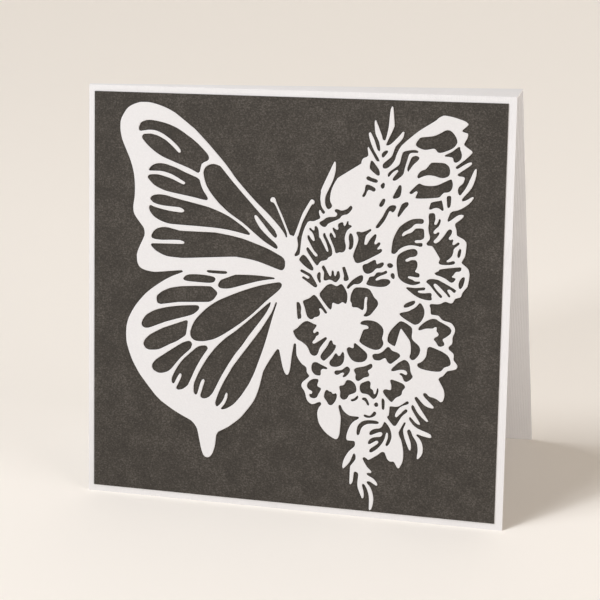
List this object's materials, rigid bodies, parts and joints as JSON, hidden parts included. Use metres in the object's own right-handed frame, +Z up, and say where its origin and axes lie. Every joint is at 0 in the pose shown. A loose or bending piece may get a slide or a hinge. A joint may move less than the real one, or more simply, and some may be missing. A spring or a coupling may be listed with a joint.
{
  "type": "die-cut butterfly greeting card",
  "caption": "Standing folded greeting card with a dark mat and a die-cut butterfly, half wings and half flowers, on its front.",
  "frame": {"origin": "middle of the card's footprint on the table", "axes": "+X to the viewer's right along the card's front, the decorated front faces -Y, +Z up"},
  "size_m": [0.15, 0.0697, 0.1398],
  "materials": {
    "white_card": "matte, faint laid texture",
    "dark_paper": "matte, mottled fibre",
    "butterfly_paper": "matte, smooth"
  },
  "bodies": {
    "root": {"folded_card": "white_card", "dark_mat": "dark_paper", "butterfly": "butterfly_paper"}
  },
  "joints": []
}
